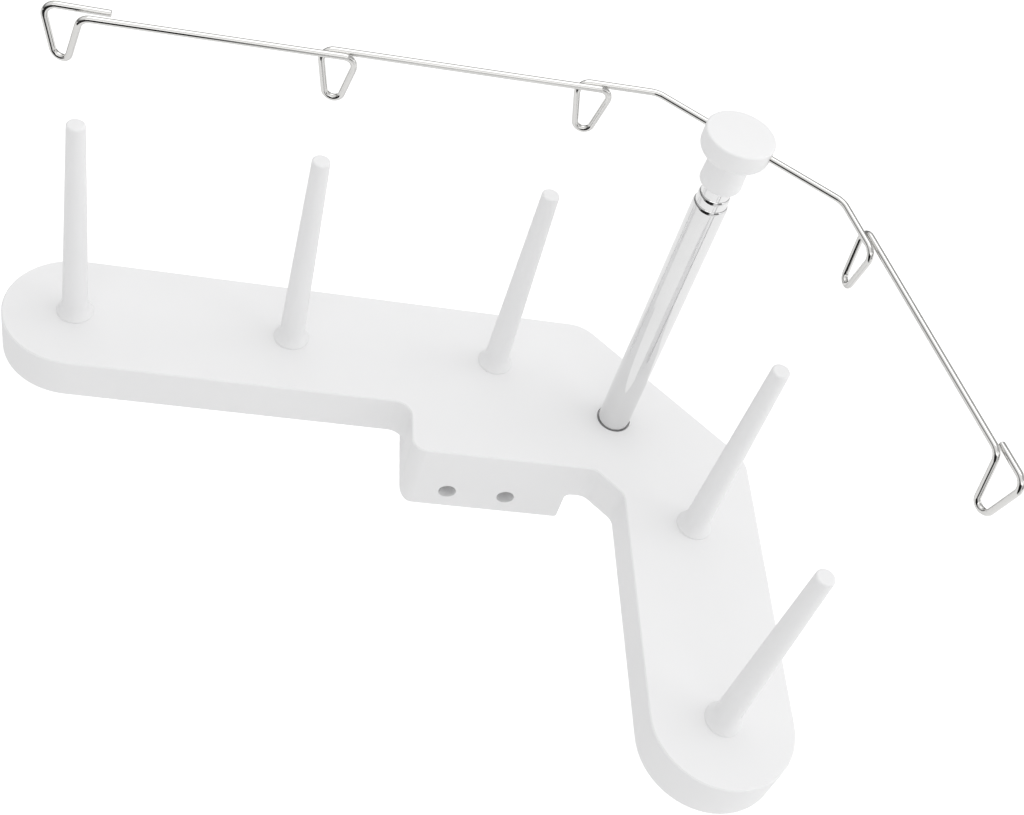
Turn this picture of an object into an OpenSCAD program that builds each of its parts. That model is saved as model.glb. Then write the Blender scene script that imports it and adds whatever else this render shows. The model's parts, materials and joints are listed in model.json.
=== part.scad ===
// Thread rack for five spools, with a telescopic thread guide.
//
// An L shaped moulded base is screwed to the back of a machine by a block with
// two holes. Five tapered spool pins stand on it, three along the long arm and
// two along the short one. A three stage telescopic pole stands in the corner.
// On top a head turns freely and carries one bent wire with five thread eyelets,
// one for each spool.
//
// The origin is on the mounting face, midway between the two screw holes.
// X runs along the long arm, Y away from the machine and Z up.
// The pieces are drawn with the pole pushed down and the guide turned as in use.

/* [Base plan] */
// Spacing of the spool pins along each arm
pin_pitch = 70; // [60:1:80]
// Width of both arms; each ends in a half circle round its last pin
arm_w = 45.6; // [42:0.2:52]
// Thickness of the base
base_h = 15.3; // [14:0.1:20]
// Distance from the third pin to the line of the short arm
pin3_to_corner = 64.5; // [60:0.5:72]
// Distance from the line of the long arm to the fourth pin
corner_to_pin4 = 61.1; // [58:0.1:70]
// Length of each leg of the large bevel on the outer corner
outer_bevel = 53.9; // [46:0.1:58]
// Rounding at both ends of the large bevel
outer_bevel_r = 12; // [6:0.5:18]
// Length of each leg of the small bevel in the inner corner
inner_bevel = 9.1; // [7:0.1:12]
// Rounding at both ends of the small bevel
inner_bevel_r = 5; // [2:0.5:7]
// Chamfer along the top edge
edge_chamfer = 0.4; // [0.3:0.1:1.2]

/* [Base shell] */
// Thickness of the side walls
wall = 2.4; // [1.8:0.1:3]
// Thickness of the top
roof = 3; // [2.4:0.1:4]
// Thickness of the ribs under the top
rib_t = 1.6; // [1.2:0.1:2.2]
// How far the ribs stay above the rim
rib_recess = 2; // [1:0.5:4]
// Ribs for each pin spacing
ribs_per_pitch = 3; // [3:1:4]

/* [Mounting block] */
// How far the block stands out in front of the long arm
block_step = 19.5; // [16:0.1:24]
// Distance from the first pin to the block along the long arm
block_from_pin1 = 111.1; // [106:0.1:116]
// Length of the block
block_len = 55.2; // [50:0.1:58]
// Depth of the block behind the mounting face
block_depth = 26; // [23:0.5:30]
// How far the block reaches below the base
block_drop = 13.1; // [11:0.1:18]
// Thickness of the walls of the block
block_wall = 3; // [2.4:0.1:4]
// Rounding of the upright outer corner of the block
block_r = 5; // [3:0.5:7]
// Rounding of the inner corner between arm and block
step_r = 6; // [3:0.5:8]
// Rounding of the lower corners of the block
block_low_r = 4; // [2:0.5:5]
// Diameter of the screw holes
hole_d = 6; // [5:0.1:6.6]
// Spacing of the two screw holes
hole_gap = 20; // [17:0.5:22]
// Height of the base's top above the screw holes
hole_below_top = 20.5; // [19:0.1:22]
// Distance from the block's outer end to the first hole
hole_from_end = 15.5; // [12:0.1:18]
// Diameter of the seats for the screw heads at the back of the block
head_seat_d = 11; // [9:0.5:12]
// Depth of those seats
head_seat_h = 5; // [2:0.5:8]
// Wall round each screw hole
hole_sleeve_t = 2.2; // [1.5:0.1:3]
// Rounding of the lower corner at the block's inner end
block_end_r = 1; // [0.5:0.1:2]
// Fillet between the block's inner end and the base
block_fillet = 2.2; // [1:0.1:4]

/* [Spool pins] */
// Height of a pin above the base
pin_h = 78.2; // [50:0.1:100]
// Diameter at the tip
pin_tip_d = 5.6; // [4.6:0.1:7]
// Diameter just above the foot
pin_root_d = 8.1; // [7.4:0.1:9.5]
// Diameter of the flared foot
pin_foot_d = 11.6; // [10.4:0.1:14]
// Height of the flare
pin_foot_h = 5.6; // [3:0.1:8]
// Height of the straight rim of the foot
pin_foot_rim = 0.4; // [0.3:0.1:1.2]
// Rounding of the tip
pin_tip_r = 0.7; // [0.3:0.1:2]
// Diameter of the spigot in the base
spigot_d = 6; // [5:0.1:7]
// Length of the spigot
spigot_len = 8; // [6:0.5:9]
// Clearance round the spigot
spigot_clear = 0.05; // [0.02:0.01:0.15]
// Wall of the bosses round the spigots
boss_t = 2.8; // [2:0.1:3.5]
// Shank diameter of the screw below each pin
pin_screw_d = 3; // [2.5:0.1:3.5]
// Length of that screw under its head
pin_screw_len = 9; // [7:0.5:11]
// Diameter of its head
pin_screw_head_d = 6; // [5:0.1:7]
// Height of its head
pin_screw_head_h = 2; // [1.5:0.1:2.4]
// How far its head stays above the rim of the base
pin_screw_recess = 0.5; // [0.3:0.1:1]
// Free space round the screw heads and the washer, where the ribs are cut back
head_room = 0.8; // [0.5:0.1:1.5]

/* [Pole] */
// Distance from the first pin to the pole along the long arm
pole_from_pin1 = 180.9; // [176:0.1:184]
// Distance from the long arm's centre line to the pole, towards the machine
pole_from_row = 19.4; // [17:0.1:22]
// Outer diameter of the outer tube
outer_od = 10.7; // [10.5:0.1:12]
// Outer diameter of the middle tube
middle_od = 9.7; // [9.6:0.02:9.8]
// Outer diameter of the inner tube
inner_od = 8.7; // [8.6:0.02:8.8]
// Wall of the three tubes
tube_t = 0.35; // [0.3:0.01:0.38]
// Height of the outer tube above the base
outer_up = 101.2; // [85:0.1:140]
// Length of middle tube that shows when the pole is pushed down
middle_show = 3.4; // [2:0.1:8]
// Length of inner tube that shows when the pole is pushed down
inner_show = 3.5; // [2:0.1:8]
// Length of the turned-in rim at the top of the outer and middle tubes
rim_h = 1.2; // [0.8:0.1:2]
// Width of the flat ring on top of a rim, inside its rounding
rim_flat = 0.08; // [0.05:0.01:0.12]
// Clearance between a rim and the tube that slides through it
rim_clear = 0.03; // [0.02:0.01:0.08]
// Clearance round the friction sleeves
sleeve_clear = 0.03; // [0.02:0.01:0.06]
// Length of a friction sleeve
sleeve_len = 10; // [6:0.5:14]
// Wall of a friction sleeve
sleeve_t = 0.5; // [0.3:0.05:0.7]
// Width of the slit in a friction sleeve
sleeve_slit = 1.2; // [0.6:0.1:2]
// Thickness of the two collars that hold a friction sleeve
collar_h = 1; // [0.8:0.1:1.5]
// Length of a plug's stub inside its tube
plug_stub = 7; // [5:0.5:10]
// Clearance of plugs that are pressed into tubes
press_clear = 0.02; // [0.01:0.01:0.05]
// Gap between the plugs when the pole is pushed down
plug_gap = 0.5; // [0.3:0.1:1]

/* [Pole foot] */
// Depth of the socket for the outer tube below the base's top
socket_h = 9; // [8:0.1:9.5]
// Clearance round the tube in the socket
socket_clear = 0.04; // [0.02:0.01:0.1]
// Wall of the socket
socket_t = 3; // [2.4:0.1:4]
// Extra radius of the open ring round the pole at the top of the base
ring_gap = 0.5; // [0.2:0.1:1]
// Depth of that ring
ring_h = 1.5; // [1:0.1:2.5]
// Thickness of the socket's floor
socket_floor = 2; // [1.5:0.1:2.4]
// Length of the plug in the foot of the outer tube
foot_plug_len = 11.5; // [9:0.5:14]
// Thickness of the plug above the screw's bore
foot_plug_end = 2; // [1.5:0.1:3]
// Shank diameter of the foot screw
foot_screw_d = 4; // [3:0.1:5]
// Diameter of the washer under its head
washer_d = 10; // [9:0.1:12]
// Thickness of the washer
washer_h = 0.8; // [0.5:0.1:1.2]
// Diameter of the foot screw's head
foot_head_d = 7.4; // [6:0.1:8]
// Height of the foot screw's head
foot_head_h = 2.4; // [2:0.1:2.6]
// Clearance of screw shanks in their holes, on the radius
shank_clear = 0.25; // [0.1:0.05:0.4]

/* [Guide head] */
// Diameter of the disc on top
disc_d = 20.6; // [18:0.1:26]
// Thickness of the disc
disc_h = 7.7; // [6:0.1:9]
// Rounding of the disc's lower edge
disc_low_r = 3; // [0.8:0.1:3.4]
// Rounding of the disc's upper edge
disc_top_r = 0.7; // [0.2:0.1:1]
// Height of the barrel below the disc
barrel_h = 10.8; // [10:0.1:16]
// Diameter of the barrel under the disc
barrel_top_d = 11.8; // [11.4:0.1:14]
// Diameter of the barrel near its lower end
barrel_low_d = 12.7; // [12:0.1:15]
// Rounding of the barrel's lower edge
barrel_r = 1.2; // [0.8:0.1:1.6]
// Clearance between the inner tube and the head that turns on it
turn_clear = 0.04; // [0.02:0.01:0.08]
// Height of the cap of the stub that holds the head
stub_cap_h = 1.6; // [1.2:0.1:2.4]
// Height of the groove below that cap
stub_groove_h = 1.4; // [1.2:0.1:2]
// Depth of the groove
stub_groove_depth = 0.6; // [0.4:0.05:0.8]
// Clearance above the cap and on both sides of the snap ring
stub_gap = 0.3; // [0.2:0.05:0.4]
// Thickness of the head between its bore and the wire
head_roof = 1; // [0.8:0.1:1.5]
// Depth of the wire's centre line below the disc's top
wire_below_top = 2.4; // [1.8:0.1:2.8]

/* [Guide wire] */
// Diameter of the wire
wire_d = 1.9; // [1.6:0.1:2.2]
// Turn of the wire's middle stretch from the line of the long arm
guide_turn = -35.3; // [-60:0.1:0]
// Distance from the pole to the bend on the side of the long arm
bend_left_reach = 26.9; // [20:0.1:34]
// Distance from the pole to the bend on the side of the short arm
bend_right_reach = 33.5; // [20:0.1:40]
// Angle of the bend on the side of the long arm
bend_left_angle = 36.8; // [25:0.1:50]
// Angle of the bend on the side of the short arm
bend_right_angle = 40.7; // [25:0.1:50]
// Radius of both bends
bend_r = 6; // [3:0.5:10]
// Distance from the left bend to the first eyelet's middle
left_first = 18.3; // [14:0.1:24]
// Spacing of the eyelets along the long arm
left_pitch = 71.6; // [50:0.1:80]
// Distance from the right bend to the first eyelet's middle
right_first = 15.1; // [14:0.1:24]
// Spacing of the eyelets along the short arm
right_pitch = 76.8; // [50:0.1:85]
// Width of an eyelet at the top
eyelet_w = 10; // [9:0.1:12]
// Depth of the last eyelet of the long arm, between the wire's centre lines
eyelet_h = 13.9; // [12:0.1:16]
// How much deeper each next eyelet towards the pole is
eyelet_h_grow = 0.5; // [0:0.1:1]
// Depth of the two eyelets of the short arm
eyelet_h_short = 15.9; // [12:0.1:18]
// Bend radius at the bottom of an eyelet
eyelet_low_r = 2.5; // [2:0.1:3]
// Bend radius at the two top corners of an eyelet
eyelet_top_r = 3.1; // [1.5:0.1:3.4]
// Sideways step of the wire where an eyelet crosses itself
cross_step = 2.2; // [2.2:0.05:2.6]
// Sideways step of the wire across the last eyelet of the long arm
end_step = 4.2; // [2.2:0.1:5]
// How much nearer the end of the left tail is to the wire than its corner
tail_lean = 0.5; // [0:0.1:1]
// Length of the free tail at the left end
tail_left = 17.6; // [8:0.1:24]
// Length of the free tail at the right end
tail_right = 12.7; // [8:0.1:24]

/* [Hidden] */
$fn = 64;
eps = 0.01;
// Cutters reach this far past the faces that they cut
over = 1;
// How much fuller the wire is in its bends, and how far its straights run into them
bend_full = 0.012;
bend_lap = 0.1;
// Angle at which a rounding of the plan crosses the straights that it joins
round_kink = 2;
white_plastic = "whitesmoke";
chrome = "silver";

// Plan frame: the origin on the base's top at the first pin. Everything below is
// drawn in it and moved to the mounting face by on_machine().
arm_r = arm_w / 2;
corner_x = 2 * pin_pitch + pin3_to_corner;
front_y = -(arm_r + block_step);
hole_x1 = block_from_pin1 + hole_from_end;
hole_mid_x = hole_x1 + hole_gap / 2;
pins = [[0, 0], [pin_pitch, 0], [2 * pin_pitch, 0],
        [corner_x, -corner_to_pin4], [corner_x, -corner_to_pin4 - pin_pitch]];
arm_end_y = pins[4][1];
pole = [pole_from_pin1, -pole_from_row];
// The two bevels lie on lines x + y = constant
outer_line = corner_x + 2 * arm_r - outer_bevel;
inner_line = corner_x - arm_r + front_y - inner_bevel;
block_low_z = -base_h - block_drop;
block_end_x = block_from_pin1 + block_len;
block_back_y = front_y + block_depth;

// Spool pin fixing
boss_r = spigot_d / 2 + boss_t;
pin_screw_r = pin_screw_d / 2;
boss_low_z = -base_h + pin_screw_head_h + pin_screw_recess;

// Pole, heights above the base's top
outer_id = outer_od - 2 * tube_t;
middle_id = middle_od - 2 * tube_t;
inner_id = inner_od - 2 * tube_t;
outer_low_z = -socket_h;
foot_plug_top = outer_low_z + foot_plug_len;
middle_plug_z = foot_plug_top + plug_gap;
middle_low_z = middle_plug_z + 2 * collar_h + sleeve_len;
middle_top_z = outer_up + middle_show;
inner_plug_z = middle_low_z + plug_stub + plug_gap;
inner_low_z = inner_plug_z + 2 * collar_h + sleeve_len;
head_low_z = middle_top_z + inner_show;
head_top_z = head_low_z + barrel_h + disc_h;
wire_z = head_top_z - wire_below_top;

// Head and the stub that holds it on the inner tube
bore_top_z = wire_z - wire_d / 2 - head_roof;
stub_top_z = bore_top_z - stub_gap;
inner_top_z = stub_top_z - stub_cap_h - stub_groove_h;

// Pole foot
socket_low_z = outer_low_z - socket_floor;
washer_low_z = socket_low_z - washer_h;
foot_screw_len = foot_plug_len - foot_plug_end + socket_floor + washer_h;

module on_machine() translate([-hole_mid_x, -front_y, hole_below_top]) children();
module at_pole(z = 0) translate([pole[0], pole[1], z]) children();

// The outline of the base, seen from above

// Corners of the plan, anticlockwise, each [x, y, radius], drawn e inside the edge.
// A corner that turns the other way gets its radius grown instead of shrunk. The arms
// end square here, and a half circle is added to each.
function plan(e = 0) = let (a = arm_r - e, s = e * sqrt(2)) [
    [0, -a, 0],
    [block_from_pin1 + e, -a, step_r + e],
    [block_from_pin1 + e, front_y + e, block_r - e],
    [inner_line + s - front_y - e, front_y + e, inner_bevel_r + e],
    [corner_x - a, inner_line + s - corner_x + a, inner_bevel_r + e],
    [corner_x - a, arm_end_y, 0],
    [corner_x + a, arm_end_y, 0],
    [corner_x + a, outer_line - s - corner_x - a, outer_bevel_r - e],
    [outer_line - s - a, a, outer_bevel_r - e],
    [0, a, 0]];
arm_ends = [[pins[0], 90], [pins[4], 180]];

function unit(v) = v / norm(v);
function xy(p) = [p[0], p[1]];
function turn(a, b) = a[0] * b[1] - a[1] * b[0];
function next_radius(p, i) = p[(i + 1) % len(p)][2];
function next_to(p, i, step) = xy(p[(i + len(p) + step) % len(p)]);
function is_outer(p, i) = turn(xy(p[i]) - next_to(p, i, -1), next_to(p, i, 1) - xy(p[i])) > 0;
// Centre of the rounding of corner i. It lies a hair nearer to both edges than the
// radius, so the round crosses them at a clean angle instead of just touching them.
function round_centre(p, i) = let (
    v = xy(p[i]), a = unit(next_to(p, i, -1) - v), b = unit(next_to(p, i, 1) - v))
    v + unit(a + b) * p[i][2] * cos(round_kink) / sin(acos(a * b) / 2);

// The wedge between the centre of a rounding and its corner, reaching past both edges
module corner_wedge(p, i) {
    c = round_centre(p, i);
    v = xy(p[i]);
    a = unit(next_to(p, i, -1) - v);
    b = unit(next_to(p, i, 1) - v);
    half = acos(a * b) / 2;
    foot_a = v + a * ((c - v) * a);
    foot_b = v + b * ((c - v) * b);
    polygon([c, foot_a + unit(foot_a - c) * over, v + unit(v - c) * over / sin(half),
             foot_b + unit(foot_b - c) * over]);
}

// What a rounding takes off an outer corner, or adds in an inner one
module corner_piece(p, i) difference() {
    corner_wedge(p, i);
    translate(round_centre(p, i)) circle(p[i][2]);
}

module corner_pieces(p, outer) for (i = [0:len(p) - 1])
    if (p[i][2] > 0 && is_outer(p, i) == outer) corner_piece(p, i);

// The plan as a flat shape, drawn e inside the edge
module rounded(e = 0) difference() {
    union() {
        polygon([for (q = plan(e)) xy(q)]);
        for (k = arm_ends) translate(k[0]) circle(arm_r - e);
        corner_pieces(plan(e), false);
    }
    corner_pieces(plan(e), true);
}

// The base as a full slab with a chamfer along its top edge
module slab() {
    p = plan();
    c = edge_chamfer;
    low = -base_h;
    difference() {
        union() {
            difference() {
                translate([0, 0, low]) linear_extrude(base_h) polygon([for (q = p) xy(q)]);
                // chamfer along each straight, run on past outer corners only
                for (i = [0:len(p) - 1]) if (p[i][2] > 0 || next_radius(p, i) > 0) {
                    v = xy(p[i]);
                    run = next_to(p, i, 1) - v;
                    lap_0 = is_outer(p, i) ? over : 0;
                    lap_1 = is_outer(p, (i + 1) % len(p)) ? over : 0;
                    translate(v - unit(run) * lap_0) rotate(atan2(run[1], run[0])) rotate([90, 0, 90])
                        linear_extrude(norm(run) + lap_0 + lap_1)
                            polygon([[c + over, over], [-over, -c - over], [-over, over]]);
                }
            }
            // round ends of the arms
            for (k = arm_ends) translate(k[0]) rotate(k[1]) rotate_extrude(angle = 180)
                polygon([[0, low], [arm_r, low], [arm_r, -c], [arm_r - c, 0], [0, 0]]);
            // inner corners, filled up to a round with the chamfer on it
            for (i = [0:len(p) - 1]) if (p[i][2] > 0 && !is_outer(p, i)) difference() {
                translate([0, 0, low]) linear_extrude(base_h) corner_wedge(p, i);
                translate(round_centre(p, i)) rotate_extrude() let (r = p[i][2])
                    polygon([[0, low - over], [r, low - over], [r, -c], [r + c + over, over], [0, over]]);
            }
        }
        // outer corners, cut back to a round with the chamfer on it
        for (i = [0:len(p) - 1]) if (p[i][2] > 0 && is_outer(p, i)) difference() {
            translate([0, 0, low - over]) linear_extrude(base_h + 2 * over) corner_wedge(p, i);
            translate(round_centre(p, i)) rotate_extrude() let (r = p[i][2], up = 2 * over)
                polygon([[0, low - up], [r, low - up], [r, -c], [r - c - up, up], [0, up]]);
        }
    }
}

// The base: shell, ribs, bosses and mounting block

// The block seen from the machine: x along the block, y up
module block_profile() {
    low = block_low_z;
    x0 = block_from_pin1;
    x1 = block_end_x;
    r = block_low_r;
    e = block_end_r;
    difference() {
        translate([x0, low]) square([block_len, -low - edge_chamfer - over]);
        difference() {
            translate([x0 - over, low - over]) square(r + over);
            translate([x0 + r, low + r]) circle(r);
        }
        difference() {
            translate([x1 - e, low - over]) square(e + over);
            translate([x1 - e, low + e]) circle(e);
        }
    }
}

// The fillet where the block's inner end runs out into the base's rim
module fillet_profile() {
    f = block_fillet;
    translate([block_end_x, -base_h]) difference() {
        translate([-eps, -f]) square([f + eps, f + eps]);
        translate([f, -f]) circle(f);
    }
}

module along_y(y0, y1) translate([0, y1, 0]) rotate([90, 0, 0]) linear_extrude(y1 - y0) children();

// The block's solid, its upright outer corner rounded like the plan above it
module block_body() {
    intersection() {
        along_y(front_y, block_back_y) block_profile();
        translate([0, 0, block_low_z - over]) linear_extrude(-block_low_z + over) rounded();
    }
}

// Ribs under the top, on a grid that runs through the pins
module rib_lines() {
    gap = pin_pitch / ribs_per_pitch;
    cross_n = floor((pole[0] + gap / 2) / gap);
    inner_edge = corner_x - arm_r;
    translate([-arm_r, -rib_t / 2]) square([corner_x + 2 * arm_r, rib_t]);
    for (i = [0:cross_n]) translate([i * gap - rib_t / 2, front_y]) square([rib_t, arm_w + block_step]);
    translate([corner_x - rib_t / 2, arm_end_y - arm_r]) square([rib_t, -arm_end_y + arm_w]);
    for (i = [0:2 * ribs_per_pitch - 1])
        translate([i * gap + arm_end_y > front_y ? pins[2][0] : inner_edge, arm_end_y + i * gap - rib_t / 2])
            square([arm_w + pin3_to_corner, rib_t]);
}

module hole_pair(d, y0, y1) {
    for (x = [hole_x1, hole_x1 + hole_gap])
        translate([x, y1, -hole_below_top]) rotate([90, 0, 0]) cylinder(h = y1 - y0, d = d);
}

module base() on_machine() color(white_plastic) {
    sleeve_d = hole_d + 2 * hole_sleeve_t;
    difference() {
        union() {
            difference() {
                union() {
                    slab();
                    block_body();
                    along_y(front_y, front_y + block_wall) fillet_profile();
                }
                // hollow of the shell
                translate([0, 0, -base_h - over]) linear_extrude(base_h - roof + over)
                    rounded(wall);
                // hollow of the block
                translate([0, 0, block_low_z - over]) linear_extrude(block_drop + over * 2)
                    translate([block_from_pin1 + block_wall, front_y + block_wall])
                        square([block_len - 2 * block_wall, block_depth - 2 * block_wall]);
            }
            // ribs
            translate([0, 0, -base_h + rib_recess]) linear_extrude(base_h - rib_recess - roof / 2)
                intersection() {
                    rounded(wall / 2);
                    rib_lines();
                }
            // the block's back wall, carried up to the top
            translate([block_from_pin1 + wall / 2, block_back_y - block_wall, -base_h - eps])
                cube([block_len - wall / 2, block_wall, base_h - roof / 2]);
            // the block's inner end wall, carried up to the top
            translate([block_end_x - block_wall, front_y + wall / 2, -base_h - eps])
                cube([block_wall, block_depth - wall / 2, base_h - roof / 2]);
            // sleeves of the screw holes, each on an upright web
            hole_pair(sleeve_d, front_y + wall, block_back_y - eps);
            for (x = [hole_x1, hole_x1 + hole_gap])
                translate([x - rib_t / 2, front_y + wall, block_low_z + rib_recess])
                    cube([rib_t, block_depth - wall - eps, -block_low_z - rib_recess - roof / 2]);
            // bosses of the spool pins
            for (p = pins) translate([p[0], p[1], boss_low_z])
                cylinder(h = -boss_low_z - roof / 2, r = boss_r);
            // socket of the pole
            at_pole(socket_low_z) cylinder(h = -socket_low_z - roof / 2, d = outer_od + 2 * socket_t);
        }
        // screw holes to the machine, with seats for the heads at the back
        hole_pair(hole_d, front_y - over, block_back_y + over);
        hole_pair(head_seat_d, block_back_y - head_seat_h, block_back_y + over);
        // bores of the spool pins and of their screws
        for (p = pins) translate([p[0], p[1], 0]) {
            translate([0, 0, -spigot_len - spigot_clear])
                cylinder(h = spigot_len + spigot_clear + over, r = spigot_d / 2 + spigot_clear);
            translate([0, 0, boss_low_z - over])
                cylinder(h = -boss_low_z, r = pin_screw_r + shank_clear);
            translate([0, 0, -base_h - over])
                cylinder(h = base_h + boss_low_z + over, r = pin_screw_head_d / 2 + head_room);
        }
        // bore of the pole, with the open ring at the top
        at_pole(outer_low_z) cylinder(h = socket_h + over, r = outer_od / 2 + socket_clear);
        at_pole(-ring_h) cylinder(h = ring_h + over, r = outer_od / 2 + ring_gap);
        at_pole(socket_low_z - over)
            cylinder(h = socket_floor + 2 * over, r = foot_screw_d / 2 + shank_clear);
        at_pole(-base_h - over)
            cylinder(h = base_h + socket_low_z + over, r = washer_d / 2 + head_room);
    }
}

// The spool pins and their screws

module spool_pin(i) on_machine() color(white_plastic) translate([pins[i][0], pins[i][1], 0]) {
    root = pin_root_d / 2;
    foot = pin_foot_d / 2;
    tip = pin_tip_d / 2;
    // A round of this radius leaves the rim of the foot and meets the pin pin_foot_h up
    rise = pin_foot_h - pin_foot_rim;
    out = foot - root;
    flare_r = (rise * rise + out * out) / (2 * out);
    difference() {
        union() {
            rotate_extrude() {
                difference() {
                    square([foot, pin_foot_h]);
                    translate([root + flare_r, pin_foot_h]) circle(flare_r, $fn = 256);
                    translate([root, pin_foot_h]) square([foot, over]);
                }
                polygon([[0, 0], [root, 0], [root, pin_foot_h], [tip, pin_h - pin_tip_r],
                         [tip - pin_tip_r, pin_h - pin_tip_r], [0, pin_h - pin_tip_r]]);
                translate([0, pin_h - 2 * pin_tip_r]) square([tip - pin_tip_r, 2 * pin_tip_r]);
                intersection() {
                    translate([tip - pin_tip_r, pin_h - pin_tip_r]) circle(pin_tip_r);
                    translate([0, pin_h - pin_tip_r]) square([tip + over, pin_tip_r + over]);
                }
            }
            translate([0, 0, -spigot_len]) cylinder(h = spigot_len + eps, d = spigot_d);
        }
        // pilot of the screw
        translate([0, 0, -spigot_len - over])
            cylinder(h = boss_low_z + pin_screw_len + press_clear + spigot_len + over,
                     r = pin_screw_r + press_clear);
    }
}

// A pan head screw that points up, with its head's bearing face at z = 0
module pan_screw(d, len, head_d, head_h) {
    slot = head_d / 7;
    cylinder(h = len, d = d);
    difference() {
        translate([0, 0, -head_h]) rotate_extrude() {
            r = head_h * 0.6;
            translate([0, r]) square([head_d / 2, head_h - r]);
            square([head_d / 2 - r, head_h]);
            intersection() {
                translate([head_d / 2 - r, r]) circle(r);
                square([head_d, r]);
            }
        }
        for (a = [0, 90]) rotate(a)
            translate([-head_d / 4, -slot / 2, -head_h - over]) cube([head_d / 2, slot, over + head_h / 2]);
    }
}

module spool_pin_1() spool_pin(0);
module spool_pin_2() spool_pin(1);
module spool_pin_3() spool_pin(2);
module spool_pin_4() spool_pin(3);
module spool_pin_5() spool_pin(4);

module pin_screws() on_machine() color(chrome) for (p = pins)
    translate([p[0], p[1], boss_low_z])
        pan_screw(pin_screw_d, pin_screw_len, pin_screw_head_d, pin_screw_head_h);

// The telescopic pole

// A tube whose top is rolled in to a rounded rim that the next tube slides through
module rimmed_tube(z0, z1, od, next_od) {
    r = od / 2;
    lip = next_od / 2 + rim_clear;
    // The arc leaves the tube at the foot of the rim and ends rim_flat outside the lip
    in = r - lip - rim_flat;
    arc_r = (rim_h * rim_h + in * in) / (2 * in);
    rotate_extrude() {
        translate([r - tube_t, z0]) square([tube_t, z1 - rim_h - z0 + eps]);
        intersection() {
            translate([lip, z1 - rim_h]) square([r - lip, rim_h]);
            translate([r - arc_r, z1 - rim_h]) circle(arc_r, $fn = 256);
        }
    }
}

// Plug below a sliding tube: two collars, a neck for the sleeve and a stub in the tube
module slide_plug(z0, od, id) {
    neck_r = od / 2 - sleeve_t - 2 * sleeve_clear;
    rotate_extrude() polygon([
        [0, z0], [od / 2, z0], [od / 2, z0 + collar_h], [neck_r, z0 + collar_h],
        [neck_r, z0 + collar_h + sleeve_len], [od / 2, z0 + collar_h + sleeve_len],
        [od / 2, z0 + 2 * collar_h + sleeve_len], [id / 2 - press_clear, z0 + 2 * collar_h + sleeve_len],
        [id / 2 - press_clear, z0 + 2 * collar_h + sleeve_len + plug_stub],
        [0, z0 + 2 * collar_h + sleeve_len + plug_stub]]);
}

// Split sleeve that brakes the slide in the tube of bore id
module slide_sleeve(z0, id) {
    r = id / 2 - sleeve_clear;
    at_pole(z0 + collar_h + sleeve_clear) difference() {
        cylinder(h = sleeve_len - 2 * sleeve_clear, r = r);
        translate([0, 0, -over]) cylinder(h = sleeve_len + 2 * over, r = r - sleeve_t);
        translate([0, -sleeve_slit / 2, -over]) cube([r + over, sleeve_slit, sleeve_len + 2 * over]);
    }
}

module outer_tube() on_machine() color(chrome)
    at_pole() rimmed_tube(outer_low_z, outer_up, outer_od, middle_od);
module middle_tube() on_machine() color(chrome)
    at_pole() rimmed_tube(middle_low_z, middle_top_z, middle_od, inner_od);

module inner_tube() on_machine() color(chrome) at_pole(inner_low_z) difference() {
    cylinder(h = inner_top_z - inner_low_z, d = inner_od);
    translate([0, 0, -over]) cylinder(h = inner_top_z - inner_low_z + 2 * over, d = inner_id);
}

module middle_plug() on_machine() color("dimgray") at_pole() slide_plug(middle_plug_z, middle_od, middle_id);
module inner_plug() on_machine() color("dimgray") at_pole() slide_plug(inner_plug_z, inner_od, inner_id);
module middle_sleeve() on_machine() color("peru") slide_sleeve(middle_plug_z, outer_id);
module inner_sleeve() on_machine() color("peru") slide_sleeve(inner_plug_z, middle_id);

module foot_plug() on_machine() color("dimgray") at_pole(outer_low_z) difference() {
    cylinder(h = foot_plug_len, r = outer_id / 2 - press_clear);
    translate([0, 0, -over])
        cylinder(h = foot_plug_len - foot_plug_end + over, r = foot_screw_d / 2 + press_clear);
}

module foot_washer() on_machine() color(chrome) at_pole(washer_low_z) difference() {
    cylinder(h = washer_h, d = washer_d);
    translate([0, 0, -over]) cylinder(h = washer_h + 2 * over, r = foot_screw_d / 2 + shank_clear);
}

module foot_screw() on_machine() color(chrome) at_pole(washer_low_z)
    pan_screw(foot_screw_d, foot_screw_len, foot_head_d, foot_head_h);

// Stub pressed into the top of the inner tube; the head snaps into its groove
module head_stub() on_machine() color("dimgray") at_pole() {
    r = inner_od / 2;
    rotate_extrude() polygon([
        [0, inner_top_z - plug_stub], [inner_id / 2 - press_clear, inner_top_z - plug_stub],
        [inner_id / 2 - press_clear, inner_top_z], [r - stub_groove_depth, inner_top_z],
        [r - stub_groove_depth, inner_top_z + stub_groove_h], [r, inner_top_z + stub_groove_h],
        [r, stub_top_z - stub_cap_h / 2], [r - stub_cap_h / 2, stub_top_z], [0, stub_top_z]]);
}

// The guide head and its wire

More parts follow.
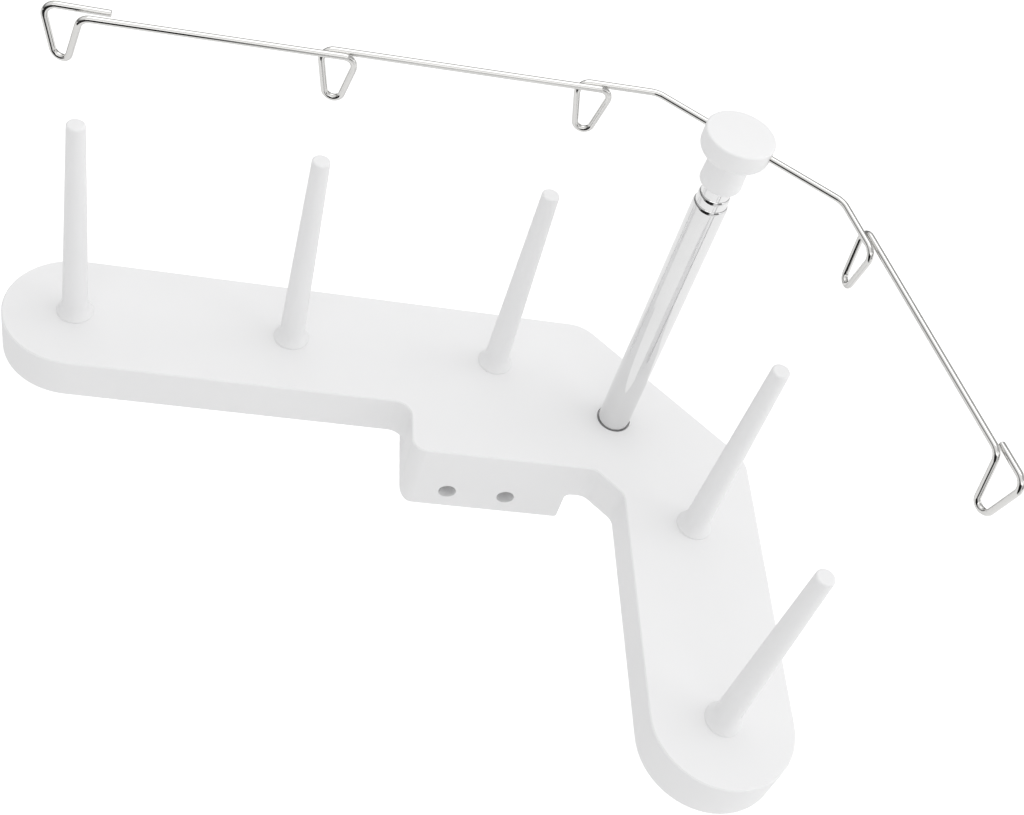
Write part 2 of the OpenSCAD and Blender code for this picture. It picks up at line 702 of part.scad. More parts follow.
module guide_head() on_machine() color(white_plastic) at_pole() {
    disc = disc_d / 2;
    bore = inner_od / 2 + turn_clear;
    low = barrel_low_d / 2;
    disc_z = head_top_z - disc_h;
    snap = stub_groove_depth - turn_clear;
    difference() {
        rotate_extrude() difference() {
            union() {
                // barrel, a little wider below, with a rounded lower edge
                polygon([[0, head_low_z + barrel_r], [low, head_low_z + barrel_r],
                         [barrel_top_d / 2, disc_z + eps], [0, disc_z + eps]]);
                translate([0, head_low_z]) square([low - barrel_r, barrel_r + eps]);
                intersection() {
                    translate([low - barrel_r, head_low_z + barrel_r]) circle(barrel_r);
                    translate([0, head_low_z]) square([low, barrel_r]);
                }
                // disc with both edges rounded
                translate([0, disc_z]) square([disc - disc_low_r, disc_h]);
                translate([0, disc_z + disc_low_r]) square([disc, disc_h - disc_low_r - disc_top_r]);
                intersection() {
                    translate([disc - disc_low_r, disc_z + disc_low_r]) circle(disc_low_r);
                    translate([0, disc_z]) square([disc, disc_low_r]);
                }
                translate([0, disc_z + disc_low_r]) square([disc - disc_top_r, disc_h - disc_low_r]);
                intersection() {
                    translate([disc - disc_top_r, head_top_z - disc_top_r]) circle(disc_top_r);
                    translate([0, head_top_z - disc_top_r]) square([disc, disc_top_r]);
                }
            }
            // bore, with the ring that snaps into the stub's groove left standing
            difference() {
                translate([-over, head_low_z - over]) square([bore + over, bore_top_z - head_low_z + over]);
                polygon([[bore + eps, inner_top_z + stub_gap / 2], [bore - snap, inner_top_z + stub_gap],
                         [bore - snap, inner_top_z + stub_groove_h - stub_gap],
                         [bore + eps, inner_top_z + stub_groove_h - stub_gap / 2]]);
            }
        }
        // channel of the wire
        translate([0, 0, wire_z]) rotate(guide_turn) rotate([0, 90, 0])
            cylinder(h = disc_d + 2 * over, r = wire_d / 2 + press_clear, center = true);
    }
}

// Frame whose z axis is w and whose x axis is u, as a matrix placed at c
function frame(u, w, c) = let (v = cross(w, u))
    [[u[0], v[0], w[0], c[0]], [u[1], v[1], w[1], c[1]], [u[2], v[2], w[2], c[2]], [0, 0, 0, 1]];
// Any direction square to w
function square_to(w) = unit(abs(w[2]) < 0.9 ? cross([0, 0, 1], w) : cross([1, 0, 0], w));

// Bend i of a path of [point, radius]: [start, end, centre, angle, axis]
function bend(p, i) = let (
    v = p[i][0], r = p[i][1],
    a = unit(p[i - 1][0] - v), b = unit(p[i + 1][0] - v),
    half = acos(a * b) / 2, t = r / tan(half))
    [v + a * t, v + b * t, v + unit(a + b) * r / sin(half), 180 - 2 * half, unit(cross(-a, b))];

// A round wire along the path, bent at its inner points. The bends are a hair fuller
// than the straights, which start and end a little way inside them.
module bent_wire(p, d) {
    n = len(p);
    bends = [for (i = [1:n - 2]) bend(p, i)];
    from = concat([p[0][0]], [for (k = bends) k[1]]);
    to = concat([for (k = bends) k[0]], [p[n - 1][0]]);
    for (i = [0:n - 2]) {
        dir = unit(to[i] - from[i]);
        start = from[i] - dir * (i > 0 ? bend_lap : 0);
        end = to[i] + dir * (i < n - 2 ? bend_lap : 0);
        multmatrix(frame(square_to(dir), dir, start)) cylinder(h = norm(end - start), d = d);
    }
    for (i = [0:n - 3]) let (k = bends[i])
        multmatrix(frame(unit(k[0] - k[2]), k[4], k[2]))
            rotate_extrude(angle = k[3]) translate([p[i + 1][1], 0]) circle(d / 2 + bend_full);
}

// The sides of an eyelet of depth h lean in by this much, so the bottom bend just fits
function lean(h) = atan((eyelet_w / 2 - eyelet_low_r) / (h - eyelet_low_r));
// Depth at which the two sides would meet, and half their distance on the top line
function point_depth(h) = eyelet_low_r / sin(lean(h)) - eyelet_low_r + h;
function half_top(h) = point_depth(h) * tan(lean(h));

// Corner points of an eyelet of depth h: s along the arm, w across it, first and last on
// the top line. dir is +1 where the wire comes in at the side of larger s.
function eyelet(s, h, dir, w0, w1) = [
    [s + dir * half_top(h), w0, 0, eyelet_top_r],
    [s, (w0 + w1) / 2, -point_depth(h), eyelet_low_r],
    [s - dir * half_top(h), w1, 0, eyelet_top_r]];

// Points given as [s, w, z, r] turned into path points of an arm that starts at c and
// runs along direction a, with w to the outer side
function on_arm(q, c, a, out) = [for (k = q)
    [[c[0] + k[0] * cos(a) + k[1] * cos(out), c[1] + k[0] * sin(a) + k[1] * sin(out), wire_z + k[2]], k[3]]];

function polar(r, a) = [r * cos(a), r * sin(a)];

module guide_wire() on_machine() color(chrome) {
    bend_left = pole + polar(bend_left_reach, guide_turn + 180);
    bend_right = pole + polar(bend_right_reach, guide_turn);
    left_a = guide_turn + 180 + bend_left_angle;
    right_a = guide_turn - bend_right_angle;
    s1 = left_first + 2 * left_pitch;
    s2 = left_first + left_pitch;
    s3 = left_first;
    s4 = right_first;
    s5 = right_first + right_pitch;
    step = cross_step;
    end_w = end_step - 2 * step;
    h3 = eyelet_h + 2 * eyelet_h_grow;
    h_short = eyelet_h_short;
    left = concat(
        [[s1 + half_top(eyelet_h) - tail_left, end_w - tail_lean, 0, 0]],
        eyelet(s1, eyelet_h, 1, end_w, -2 * step),
        eyelet(s2, eyelet_h + eyelet_h_grow, -1, -2 * step, -step),
        eyelet(s3, h3, -1, -step, 0));
    right = concat(
        eyelet(s4, h_short, 1, 0, step),
        eyelet(s5, h_short, -1, step, 2 * step),
        [[s5 + half_top(h_short) - tail_right, 2 * step, 0, 0]]);
    bent_wire(concat(
        on_arm(left, bend_left, left_a, left_a - 90),
        [[[bend_left[0], bend_left[1], wire_z], bend_r], [[bend_right[0], bend_right[1], wire_z], bend_r]],
        on_arm(right, bend_right, right_a, right_a + 90)), wire_d);
}

base();
spool_pin_1();
spool_pin_2();
spool_pin_3();
spool_pin_4();
spool_pin_5();
pin_screws();
outer_tube();
foot_plug();
foot_washer();
foot_screw();
middle_tube();
middle_plug();
middle_sleeve();
inner_tube();
inner_plug();
inner_sleeve();
head_stub();
guide_head();
guide_wire();
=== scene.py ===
"""Thread rack: camera, light, materials and the finer visible pieces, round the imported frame.

All lengths of the scene are in metres. The finer pieces are worked out in the millimetres of the
drawing, whose origin lies on the base's top at the first pin, and at() brings them into the scene.
"""
import json
import math

import bmesh
import bpy
from mathutils import Matrix, Vector


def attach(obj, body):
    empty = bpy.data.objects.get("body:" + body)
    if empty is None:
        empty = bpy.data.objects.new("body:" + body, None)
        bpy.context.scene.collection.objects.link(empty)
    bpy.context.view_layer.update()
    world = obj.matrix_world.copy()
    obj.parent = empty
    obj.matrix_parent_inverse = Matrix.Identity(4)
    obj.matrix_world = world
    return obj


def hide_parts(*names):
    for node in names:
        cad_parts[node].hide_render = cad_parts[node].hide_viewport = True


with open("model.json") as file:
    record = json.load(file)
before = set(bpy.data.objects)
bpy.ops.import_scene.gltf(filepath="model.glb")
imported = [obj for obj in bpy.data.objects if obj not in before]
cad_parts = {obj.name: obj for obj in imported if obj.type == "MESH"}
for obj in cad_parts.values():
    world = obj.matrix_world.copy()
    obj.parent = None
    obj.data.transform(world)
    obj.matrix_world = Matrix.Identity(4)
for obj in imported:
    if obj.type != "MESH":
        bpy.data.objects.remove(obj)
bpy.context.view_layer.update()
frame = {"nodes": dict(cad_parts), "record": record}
nodes = frame["nodes"]
scene = bpy.context.scene

MM = 0.001
# The drawing's origin, seen from midway between the screw holes on the front face
ORIGIN = Vector((-136.6, 42.3, 20.5))


def at(x, y, z):
    return (Vector((x, y, z)) + ORIGIN) * MM


# Camera, solved from the photograph's pins, outline and block
RIGHT = Vector((0.97257865, -0.04404917, 0.2283647))
DOWN = Vector((0.11240464, -0.77057842, -0.62735484))
AHEAD = Vector((0.20360737, 0.63582118, -0.74449679))
EYE = Vector((-0.090239, -0.286207, 0.381926))
FOCAL_PX, PICTURE_W, SENSOR = 1440.346, 1024, 36.0

camera = bpy.data.objects.new("camera", bpy.data.cameras.new("camera"))
scene.collection.objects.link(camera)
scene.camera = camera
turned = Matrix((RIGHT, -DOWN, -AHEAD)).transposed().to_4x4()
camera.matrix_world = Matrix.Translation(EYE) @ turned
camera.data.sensor_fit = "HORIZONTAL"
camera.data.sensor_width = SENSOR
camera.data.lens = FOCAL_PX * SENSOR / PICTURE_W
camera.data.clip_start = 0.01
scene.view_settings.view_transform = "Standard"


# Materials


def new_material(name):
    material = bpy.data.materials.new(name)
    material.use_nodes = True
    tree = material.node_tree
    return material, tree, tree.nodes["Principled BSDF"]


def add(tree, kind, **values):
    """A new node, with each value set on its input of that name or as its property."""
    node = tree.nodes.new(kind)
    for key, value in values.items():
        if key in node.inputs:
            node.inputs[key].default_value = value
        else:
            setattr(node, key, value)
    return node


def ramp(tree, source, stops):
    """A colour ramp fed by source; a stop is a place and a grey level or a colour."""
    node = tree.nodes.new("ShaderNodeValToRGB")
    elements = node.color_ramp.elements
    while len(elements) < len(stops):
        elements.new(0.5)
    for element, (place, level) in zip(elements, stops):
        element.position = place
        element.color = (*level, 1) if isinstance(level, tuple) else (level, level, level, 1)
    tree.links.new(source, node.inputs["Fac"])
    return node


def plastic(name, color, rough, grain):
    """Satin moulded plastic: fine spark-eroded grain, faint flow marks and a soft inner glow."""
    material, tree, shader = new_material(name)
    link = tree.links.new
    place = add(tree, "ShaderNodeTexCoord")
    fine = add(tree, "ShaderNodeTexNoise", Scale=2600.0, Detail=3.0, Roughness=0.6)
    flow = add(tree, "ShaderNodeTexNoise", Scale=28.0, Detail=4.0, Roughness=0.5)
    for texture in (fine, flow):
        link(place.outputs["Object"], texture.inputs["Vector"])
    darker = tuple(0.985 * channel for channel in color)
    tint = ramp(tree, flow.outputs["Fac"], [(0.3, darker), (0.7, color)])
    link(tint.outputs["Color"], shader.inputs["Base Color"])
    gloss = ramp(tree, fine.outputs["Fac"], [(0.3, rough - 0.05), (0.7, rough + 0.05)])
    link(gloss.outputs["Color"], shader.inputs["Roughness"])
    bump = add(tree, "ShaderNodeBump", Strength=grain, Distance=0.05 * MM)
    link(fine.outputs["Fac"], bump.inputs["Height"])
    link(bump.outputs["Normal"], shader.inputs["Normal"])
    shader.inputs["Specular IOR Level"].default_value = 0.4
    shader.inputs["Subsurface Weight"].default_value = 0.08
    shader.inputs["Subsurface Radius"].default_value = (2 * MM, 2 * MM, 2 * MM)
    shader.inputs["Subsurface Scale"].default_value = 1.0
    return material


def metal(name, color, rough, streak, along=(1, 1, 1), dirt=0.03):
    """Plated or drawn metal with a faint uneven sheen and a fine grain, which along stretches."""
    material, tree, shader = new_material(name)
    link = tree.links.new
    place = add(tree, "ShaderNodeTexCoord")
    squeeze = add(tree, "ShaderNodeMapping", Scale=along)
    link(place.outputs["Object"], squeeze.inputs["Vector"])
    lines = add(tree, "ShaderNodeTexNoise", Scale=1800.0, Detail=2.0, Roughness=0.5)
    link(squeeze.outputs["Vector"], lines.inputs["Vector"])
    cloud = add(tree, "ShaderNodeTexNoise", Scale=60.0, Detail=3.0, Roughness=0.6)
    link(place.outputs["Object"], cloud.inputs["Vector"])
    darker = tuple((1 - dirt) * channel for channel in color)
    tint = ramp(tree, cloud.outputs["Fac"], [(0.35, darker), (0.65, color)])
    link(tint.outputs["Color"], shader.inputs["Base Color"])
    sleek = max(rough - 0.04, 0.02)
    gloss = ramp(tree, lines.outputs["Fac"], [(0.3, sleek), (0.7, rough + 0.04)])
    link(gloss.outputs["Color"], shader.inputs["Roughness"])
    bump = add(tree, "ShaderNodeBump", Strength=streak, Distance=0.02 * MM)
    link(lines.outputs["Fac"], bump.inputs["Height"])
    link(bump.outputs["Normal"], shader.inputs["Normal"])
    shader.inputs["Metallic"].default_value = 1.0
    return material


LENGTHWISE = (1, 1, 0.02)
looks = {
    "white_plastic": plastic("white_plastic", (0.86, 0.86, 0.864), 0.5, 0.12),
    "pin_plastic": plastic("pin_plastic", (0.85, 0.85, 0.854), 0.42, 0.05),
    "head_plastic": plastic("head_plastic", (0.88, 0.88, 0.883), 0.4, 0.05),
    "zinc_screw": metal("zinc_screw", (0.62, 0.63, 0.65), 0.3, 0.1),
    "satin_chrome": metal("satin_chrome", (0.78, 0.78, 0.78), 0.08, 0.03, LENGTHWISE),
    "bright_chrome": metal("bright_chrome", (0.82, 0.82, 0.82), 0.06, 0.01, LENGTHWISE),
    "steel_plug": metal("steel_plug", (0.5, 0.5, 0.51), 0.32, 0.1),
    "bronze_sleeve": metal("bronze_sleeve", (0.66, 0.46, 0.26), 0.3, 0.1),
    "polished_wire": metal("polished_wire", (0.715, 0.71, 0.695), 0.08, 0.01),
    "grey_nylon": plastic("grey_nylon", (0.3, 0.3, 0.31), 0.55, 0.1),
}


def dress(obj, slot):
    obj.data.materials.clear()
    obj.data.materials.append(looks[slot])
    for face in obj.data.polygons:
        face.use_smooth = True


for part in frame["record"]["subparts"]:
    dress(nodes[part["node"]], part["material_slot"])


# Finer pieces


def mesh_object(name, mesh):
    bmesh.ops.recalc_face_normals(mesh, faces=mesh.faces)
    data = bpy.data.meshes.new(name)
    mesh.to_mesh(data)
    mesh.free()
    return bpy.data.objects.new(name, data)


def sharpen(obj, degrees):
    """Keeps edges steeper than this sharp when the mesh is shaded smooth."""
    mesh = bmesh.new()
    mesh.from_mesh(obj.data)
    limit = math.radians(degrees)
    for edge in mesh.edges:
        edge.smooth = not (edge.is_manifold and edge.calc_face_angle(0) > limit)
    mesh.to_mesh(obj.data)
    mesh.free()


def keep(obj, body, slot, replaced, sharp_from=32):
    """Puts a finished piece in the scene, in place of the plain solid that it refines."""
    sharpen(obj, sharp_from)
    scene.collection.objects.link(obj)
    dress(obj, slot)
    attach(obj, body)
    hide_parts(replaced)


def polar(radius, degrees):
    angle = math.radians(degrees)
    return Vector((radius * math.cos(angle), radius * math.sin(angle)))


def arc(x, z, radius, start, end, steps):
    """Points of an arc in the lathe's plane, its angles counted from the radius axis."""
    angles = [start + (end - start) * k / steps for k in range(steps + 1)]
    return [(x + spoke.x, z + spoke.y) for spoke in (polar(radius, angle) for angle in angles)]


def lathe(name, profile, centre, turns):
    """A solid of revolution round an upright line, from its (radius, height) points."""
    mesh = bmesh.new()
    rings = []
    for radius, height in profile:
        spokes = [polar(radius, 360 * k / turns) for k in range(turns if radius else 1)]
        rings.append(
            [mesh.verts.new(at(centre[0] + spoke.x, centre[1] + spoke.y, height)) for spoke in spokes]
        )
    for low, high in zip(rings, rings[1:]):
        for k in range(turns):
            n = (k + 1) % turns
            if len(low) == 1:
                mesh.faces.new((low[0], high[n], high[k]))
            elif len(high) == 1:
                mesh.faces.new((low[k], low[n], high[0]))
            else:
                mesh.faces.new((low[k], low[n], high[n], high[k]))
    return mesh_object(name, mesh)


# Spool pins: tapered, with a flared foot, a rounded tip and a spigot bored for its screw
PINS = [(0, 0), (70, 0), (140, 0), (204.5, -61.1), (204.5, -131.1)]
PIN_H, TIP_R, ROOT_R, FOOT_R, TIP_ROUND = 78.2, 2.8, 4.05, 5.8, 0.7
FLARE_H, FLARE_RIM = 5.6, 0.4
SPIGOT_R, SPIGOT_LOW, PILOT_R, PILOT_TOP = 3, -8, 1.52, -3.78


def pin_profile():
    rise, spread = FLARE_H - FLARE_RIM, FOOT_R - ROOT_R
    flare = (rise**2 + spread**2) / (2 * spread)
    low_angle = 180 + math.degrees(math.asin(rise / flare))
    return (
        [(0, PILOT_TOP), (PILOT_R, PILOT_TOP), (PILOT_R, SPIGOT_LOW)]
        + [(SPIGOT_R, SPIGOT_LOW), (SPIGOT_R, 0), (FOOT_R, 0), (FOOT_R, FLARE_RIM)]
        + arc(ROOT_R + flare, FLARE_H, flare, low_angle, 180, 14)[1:]
        + arc(TIP_R - TIP_ROUND, PIN_H - TIP_ROUND, TIP_ROUND, 0, 90, 10)
        + [(0, PIN_H)]
    )


for number, pin in enumerate(PINS, 1):
    keep(
        lathe(f"pin_{number}", pin_profile(), pin, 96),
        "base",
        "pin_plastic",
        f"spool_pin_{number}",
    )

# Tubes of the pole; the outer and middle ones have a rim rolled in at the top
POLE = (180.9, -19.4)
OUTER_R, MIDDLE_R, INNER_R, TUBE_T = 5.35, 4.85, 4.35, 0.35
OUTER_ENDS, MIDDLE_ENDS, INNER_ENDS = (-9, 101.2), (15, 104.6), (34.5, 118.95)
RIM_H, RIM_FLAT, RIM_CLEAR = 1.2, 0.08, 0.03


def rimmed_tube(low, top, r, r_inside):
    """Profile of a tube whose rim closes in on the tube inside, which has radius r_inside."""
    lip, bore = r_inside + RIM_CLEAR, r - TUBE_T
    inward = r - lip - RIM_FLAT
    bow = (RIM_H**2 + inward**2) / (2 * inward)
    end = math.degrees(math.asin(RIM_H / bow))
    return (
        [(bore, low), (r, low)]
        + arc(r - bow, top - RIM_H, bow, 0, end, 12)
        + [(lip, top), (lip, top - RIM_H), (bore, top - RIM_H), (bore, low)]
    )


def plain_tube(low, top, r):
    bore = r - TUBE_T
    return [(bore, low), (r, low), (r, top), (bore, top), (bore, low)]


for name, profile, body, slot in (
    ("outer", rimmed_tube(*OUTER_ENDS, OUTER_R, MIDDLE_R), "base", "satin_chrome"),
    ("middle", rimmed_tube(*MIDDLE_ENDS, MIDDLE_R, INNER_R), "middle_stage", "bright_chrome"),
    ("inner", plain_tube(*INNER_ENDS, INNER_R), "inner_stage", "bright_chrome"),
):
    keep(lathe(f"pole_{name}", profile, POLE, 128), body, slot, f"{name}_tube", 40)

# Guide head: a disc on a barrel, bored for the pole and drilled for the wire
DISC_R, BARREL_TOP_R, BARREL_LOW_R = 10.3, 5.9, 6.35
BARREL_ROUND, DISC_LOW_ROUND, DISC_TOP_ROUND = 1.2, 3, 0.7
HEAD_LOW, DISC_LOW, HEAD_TOP = 108.1, 118.9, 126.6
SNAP_R, SNAP_LOW, SNAP_HIGH, SNAP_SLOPE = 3.83, 119.25, 120.05, 0.15
WIRE_D, WIRE_Z, TURN = 1.9, 124.2, -35.3
CHANNEL_CLEAR, CHANNEL_OVER = 0.02, 1
BORE_R, ROOF = 4.39, 1
BORE_TOP = WIRE_Z - WIRE_D / 2 - ROOF


def head_profile():
    return (
        [(0, BORE_TOP), (BORE_R, BORE_TOP), (BORE_R, SNAP_HIGH + SNAP_SLOPE)]
        + [(SNAP_R, SNAP_HIGH), (SNAP_R, SNAP_LOW), (BORE_R, SNAP_LOW - SNAP_SLOPE)]
        + [(BORE_R, HEAD_LOW)]
        + arc(BARREL_LOW_R - BARREL_ROUND, HEAD_LOW + BARREL_ROUND, BARREL_ROUND, -90, 0, 10)
        + [(BARREL_TOP_R, DISC_LOW)]
        + arc(DISC_R - DISC_LOW_ROUND, DISC_LOW + DISC_LOW_ROUND, DISC_LOW_ROUND, -90, 0, 16)
        + arc(DISC_R - DISC_TOP_ROUND, HEAD_TOP - DISC_TOP_ROUND, DISC_TOP_ROUND, 0, 90, 8)
        + [(0, HEAD_TOP)]
    )


def drill(obj, place, turn, radius, length):
    """Cuts a level round hole through a piece, centred on place and turned by turn degrees."""
    mesh = bmesh.new()
    level = Matrix.Rotation(math.radians(turn), 4, "Z") @ Matrix.Rotation(math.pi / 2, 4, "Y")
    bmesh.ops.create_cone(
        mesh,
        cap_ends=True,
        segments=64,
        radius1=radius * MM,
        radius2=radius * MM,
        depth=length * MM,
        matrix=Matrix.Translation(at(*place)) @ level,
    )
    tool = mesh_object("drill", mesh)
    for each in (obj, tool):
        scene.collection.objects.link(each)
    cut = obj.modifiers.new("hole", "BOOLEAN")
    cut.operation = "DIFFERENCE"
    cut.solver = "EXACT"
    cut.object = tool
    drilled = obj.evaluated_get(bpy.context.evaluated_depsgraph_get())
    obj.data = bpy.data.meshes.new_from_object(drilled)
    obj.modifiers.clear()
    bpy.data.objects.remove(tool)
    scene.collection.objects.unlink(obj)


head = lathe("head", head_profile(), POLE, 128)
channel_r, channel_len = WIRE_D / 2 + CHANNEL_CLEAR, 2 * (DISC_R + CHANNEL_OVER)
drill(head, (*POLE, WIRE_Z), TURN, channel_r, channel_len)
keep(head, "guide", "head_plastic", "guide_head")

# Guide wire: one bent wire with five eyelets, swept along the same route as the solid
BEND_R, REACH_L, REACH_R, ANGLE_L, ANGLE_R = 6, 26.9, 33.5, 36.8, 40.7
FIRST_L, PITCH_L, FIRST_R, PITCH_R = 18.3, 71.6, 15.1, 76.8
EYE_W, EYE_LOW_R, EYE_TOP_R, STEP, END_STEP = 10, 2.5, 3.1, 2.2, 4.2
EYE_H, EYE_H_GROW, EYE_H_SHORT = 13.9, 0.5, 15.9
TAIL_L, TAIL_R, TAIL_LEAN = 17.6, 12.7, 0.5


def half_top(depth):
    """Half the width between an eyelet's top corner points, and the depth where its sides meet."""
    lean = math.atan((EYE_W / 2 - EYE_LOW_R) / (depth - EYE_LOW_R))
    point = EYE_LOW_R / math.sin(lean) - EYE_LOW_R + depth
    return point * math.tan(lean), point


def eyelet(s, depth, sign, w0, w1):
    """Corner points of an eyelet at s along its arm, with their bend radii, stepping from w0 to w1."""
    half, point = half_top(depth)
    return [
        (s + sign * half, w0, 0, EYE_TOP_R),
        (s, (w0 + w1) / 2, -point, EYE_LOW_R),
        (s - sign * half, w1, 0, EYE_TOP_R),
    ]


def on_arm(points, start, along, out):
    """Points given along and beside an arm, with the height over it, as places of the drawing."""
    return [
        (Vector((*(start + polar(s, along) + polar(w, out)), WIRE_Z + z)), r)
        for s, w, z, r in points
    ]


def wire_route():
    """Corner points of the wire with their bend radii, from the left end to the right end."""
    pole = Vector(POLE)
    bend_l, bend_r = pole + polar(REACH_L, TURN + 180), pole + polar(REACH_R, TURN)
    along_l, along_r = TURN + 180 + ANGLE_L, TURN - ANGLE_R
    s1, s2, s3 = FIRST_L + 2 * PITCH_L, FIRST_L + PITCH_L, FIRST_L
    s4, s5 = FIRST_R, FIRST_R + PITCH_R
    end_w = END_STEP - 2 * STEP
    left = (
        [(s1 + half_top(EYE_H)[0] - TAIL_L, end_w - TAIL_LEAN, 0, 0)]
        + eyelet(s1, EYE_H, 1, end_w, -2 * STEP)
        + eyelet(s2, EYE_H + EYE_H_GROW, -1, -2 * STEP, -STEP)
        + eyelet(s3, EYE_H + 2 * EYE_H_GROW, -1, -STEP, 0)
    )
    right = (
        eyelet(s4, EYE_H_SHORT, 1, 0, STEP)
        + eyelet(s5, EYE_H_SHORT, -1, STEP, 2 * STEP)
        + [(s5 + half_top(EYE_H_SHORT)[0] - TAIL_R, 2 * STEP, 0, 0)]
    )
    return (
        on_arm(left, bend_l, along_l, along_l - 90)
        + [(Vector((*bend, WIRE_Z)), BEND_R) for bend in (bend_l, bend_r)]
        + on_arm(right, bend_r, along_r, along_r + 90)
    )


def smooth_path(route, step_deg=6):
    """The route's straights and round bends as one list of points."""
    points = [route[0][0]]
    for (a, _), (v, r), (b, _) in zip(route, route[1:], route[2:]):
        to_a, to_b = (a - v).normalized(), (b - v).normalized()
        half = to_a.angle(to_b) / 2
        centre = v + (to_a + to_b).normalized() * (r / math.sin(half))
        start = v + to_a * (r / math.tan(half)) - centre
        axis = (-to_a).cross(to_b).normalized()
        swing = math.pi - 2 * half
        steps = max(3, round(math.degrees(swing) / step_deg))
        for k in range(steps + 1):
            points.append(centre + Matrix.Rotation(swing * k / steps, 3, axis) @ start)
    points.append(route[-1][0])
    return points


def rod_stations(points, radius, nose):
    """Place, direction and radius of each ring of a rod whose two ends are rounded by nose."""
    first = (points[1] - points[0]).normalized()
    last = (points[-1] - points[-2]).normalized()
    ends = [(0.0, radius - nose), (nose * 0.3, radius - nose * 0.3), (nose, radius)]
    stations = [(points[0] + first * d, first, r) for d, r in ends]
    for before, here, after in zip(points, points[1:], points[2:]):
        forward = (here - before).normalized() + (after - here).normalized()
        stations.append((here, forward.normalized(), radius))
    return stations + [(points[-1] - last * d, last, r) for d, r in reversed(ends)]


def sweep(name, points, radius, sides=64, nose=0.25):
    """A closed round rod along the points."""
    stations = rod_stations(points, radius, nose)
    side = stations[0][1].orthogonal().normalized()
    mesh = bmesh.new()
    rings = []
    for place, forward, r in stations:
        side = (side - forward * side.dot(forward)).normalized()
        other = forward.cross(side)
        spokes = [polar(r, 360 * k / sides) for k in range(sides)]
        rings.append([mesh.verts.new(at(*(place + side * u.x + other * u.y))) for u in spokes])
    for a, b in zip(rings, rings[1:]):
        for k in range(sides):
            n = (k + 1) % sides
            mesh.faces.new((a[k], a[n], b[n], b[k]))
    mesh.faces.new(list(reversed(rings[0])))
    mesh.faces.new(rings[-1])
    return mesh_object(name, mesh)


wire = sweep("wire", smooth_path(wire_route()), WIRE_D / 2)
keep(wire, "guide", "polished_wire", "guide_wire", 50)


# Floor, cards and light


def matt(name, grey):
    """A matt grey material, with its node tree and its shader."""
    material, tree, shader = new_material(name)
    shader.inputs["Base Color"].default_value = (grey, grey, grey, 1)
    shader.inputs["Roughness"].default_value = 0.9
    shader.inputs["Specular IOR Level"].default_value = 0.0
    return material, tree, shader


def floor_paper(grey, glow, glow_in_metal):
    """White paper that looks lighter to the camera and in metal, without lighting anything."""
    material, tree, shader = matt("floor_paper", grey)
    path = add(tree, "ShaderNodeLightPath")
    lightest = None
    for ray, strength in (
        ("Is Camera Ray", glow),
        ("Is Glossy Ray", glow_in_metal),
        ("Is Transmission Ray", glow),
    ):
        share = add(tree, "ShaderNodeMath", operation="MULTIPLY")
        share.inputs[1].default_value = strength
        tree.links.new(path.outputs[ray], share.inputs[0])
        if lightest is None:
            lightest = share
            continue
        larger = add(tree, "ShaderNodeMath", operation="MAXIMUM")
        tree.links.new(lightest.outputs[0], larger.inputs[0])
        tree.links.new(share.outputs[0], larger.inputs[1])
        lightest = larger
    shader.inputs["Emission Color"].default_value = (1, 1, 1, 1)
    tree.links.new(lightest.outputs[0], shader.inputs["Emission Strength"])
    return material


def fading_cloth(dark, light, x_dark, x_light):
    """Cloth that grows lighter from x_dark to x_light."""
    material, tree, shader = matt("dark_cloth", dark)
    place = add(tree, "ShaderNodeTexCoord")
    across = add(tree, "ShaderNodeSeparateXYZ")
    fade = add(tree, "ShaderNodeMapRange")
    fade.inputs["From Min"].default_value = x_dark
    fade.inputs["From Max"].default_value = x_light
    fade.inputs["To Min"].default_value = dark
    fade.inputs["To Max"].default_value = light
    tree.links.new(place.outputs["Object"], across.inputs["Vector"])
    tree.links.new(across.outputs["X"], fade.inputs["Value"])
    tree.links.new(fade.outputs["Result"], shader.inputs["Base Color"])
    return material


def panel(name, corners, material):
    data = bpy.data.meshes.new(name)
    data.from_pydata([Vector(c) for c in corners], [], [tuple(range(len(corners)))])
    obj = bpy.data.objects.new(name, data)
    scene.collection.objects.link(obj)
    data.materials.append(material)
    return obj


def lying(outline, z):
    return [(x, y, z) for x, y in outline]


def upright(left, right, y, low, high):
    return [(left, y, low), (right, y, low), (right, y, high), (left, y, high)]


def card(name, corners, material):
    """A panel that only gloss shows, as the things round a studio table do."""
    obj = panel(name, corners, material)
    obj.visible_diffuse = False
    obj.visible_camera = False
    obj.visible_shadow = False


FLOOR_Z, FLOOR_HALF, CARD_LOW = -0.14, 4, -0.135
corner_signs = [(-1, -1), (1, -1), (1, 1), (-1, 1)]
floor_outline = [(FLOOR_HALF * i, FLOOR_HALF * j) for i, j in corner_signs]
white_paper = floor_paper(grey=0.9, glow=0.3, glow_in_metal=0.12)
panel("floor", lying(floor_outline, FLOOR_Z), white_paper)

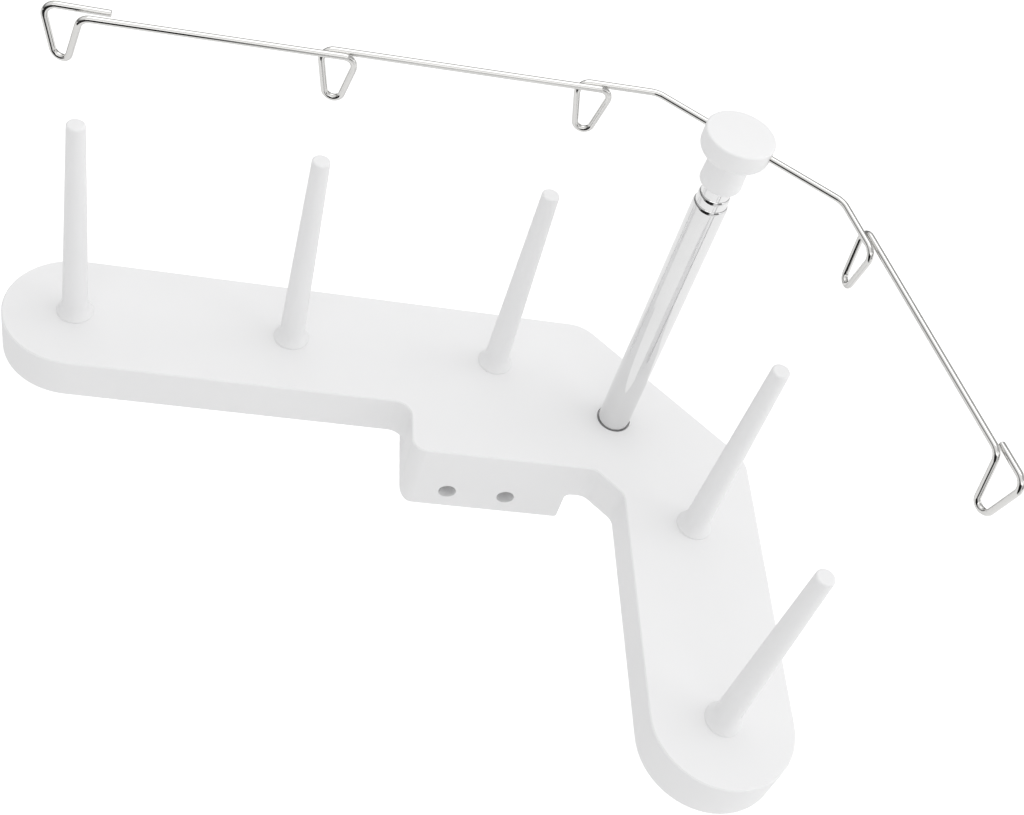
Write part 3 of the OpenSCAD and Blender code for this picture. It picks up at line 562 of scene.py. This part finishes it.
# The dark front left of the studio, a cloth on the floor and up a stand. Its near edge slants
# back from CLOTH_BEND to CLOTH_TURN.
CLOTH_LEFT, CLOTH_RIGHT, CLOTH_FAR, CLOTH_NEAR, CLOTH_TOP = -1.8, 0.5, -1.1, -0.38, 0.55
CLOTH_BEND, CLOTH_TURN, CLOTH_SIDE = -0.15, -0.45, -0.3
cloth_outline = [
    (CLOTH_LEFT, CLOTH_FAR),
    (CLOTH_RIGHT, CLOTH_FAR),
    (CLOTH_RIGHT, CLOTH_NEAR),
    (CLOTH_BEND, CLOTH_NEAR),
    (CLOTH_TURN, CLOTH_SIDE),
    (CLOTH_LEFT, CLOTH_SIDE),
]
cloth = fading_cloth(dark=0.02, light=0.8, x_dark=-0.1, x_light=0.08)
card("cloth_floor", lying(cloth_outline, CARD_LOW), cloth)
card("cloth_stand", upright(CLOTH_LEFT, CLOTH_RIGHT, CLOTH_FAR, CARD_LOW, CLOTH_TOP), cloth)

# A grey card over the back right, which dulls the wire's right arm
GREY_CARD_Z = 0.5
grey_outline = [(0.15, -0.3), (1.2, -0.3), (1.2, 1.0), (0.35, 1.0), (0.15, 0.3)]
grey_paper = matt("grey_paper", grey=0.6)[0]
card("grey_card", lying(grey_outline, GREY_CARD_Z), grey_paper)

# A grey wall at the back, which draws the thin line along the wire's upper edge
wall_paper = matt("wall_paper", grey=0.25)[0]
card("back_wall", upright(left=-1.6, right=1.4, y=1.3, low=CARD_LOW, high=0.75), wall_paper)


def studio_sky(light, seen, low, clear_from):
    """A white sky that lights evenly; gloss sees it darken towards the horizon."""
    world = bpy.data.worlds.new("studio")
    world.use_nodes = True
    tree = world.node_tree
    link = tree.links.new
    sky = tree.nodes["Background"]
    sky.inputs["Color"].default_value = (1, 1, 1, 1)
    path = add(tree, "ShaderNodeLightPath")
    direction = add(tree, "ShaderNodeTexCoord")
    height = add(tree, "ShaderNodeSeparateXYZ")
    overhead = add(tree, "ShaderNodeMapRange", interpolation_type="SMOOTHSTEP")
    for key, value in (("From Max", clear_from), ("To Min", low), ("To Max", seen)):
        overhead.inputs[key].default_value = value
    to_camera = add(tree, "ShaderNodeMix", A=light, B=seen)
    to_metal = add(tree, "ShaderNodeMix")
    link(direction.outputs["Generated"], height.inputs["Vector"])
    link(height.outputs["Z"], overhead.inputs["Value"])
    link(path.outputs["Is Camera Ray"], to_camera.inputs["Factor"])
    link(path.outputs["Is Glossy Ray"], to_metal.inputs["Factor"])
    link(to_camera.outputs["Result"], to_metal.inputs["A"])
    link(overhead.outputs["Result"], to_metal.inputs["B"])
    link(to_metal.outputs["Result"], sky.inputs["Strength"])
    return world


scene.world = studio_sky(light=0.72, seen=1.0, low=0.12, clear_from=0.68)


def soft_box(name, place, target, size, power):
    light = bpy.data.lights.new(name, "AREA")
    light.shape = "RECTANGLE"
    light.size, light.size_y = size
    light.energy = power
    obj = bpy.data.objects.new(name, light)
    obj.location = place
    obj.rotation_euler = (Vector(target) - Vector(place)).to_track_quat("-Z", "Y").to_euler()
    scene.collection.objects.link(obj)


AIM = (0, 0, 0.03)
soft_box("top_light", (0.1, 0.3, 1.2), target=(0, 0, 0), size=(1.4, 1.0), power=4.0)
soft_box("right_light", (1.2, -0.15, 0.5), target=AIM, size=(1.4, 1.0), power=4.0)
soft_box("front_light", (-0.1, -1.3, 0.75), target=AIM, size=(1.4, 0.7), power=2.2)
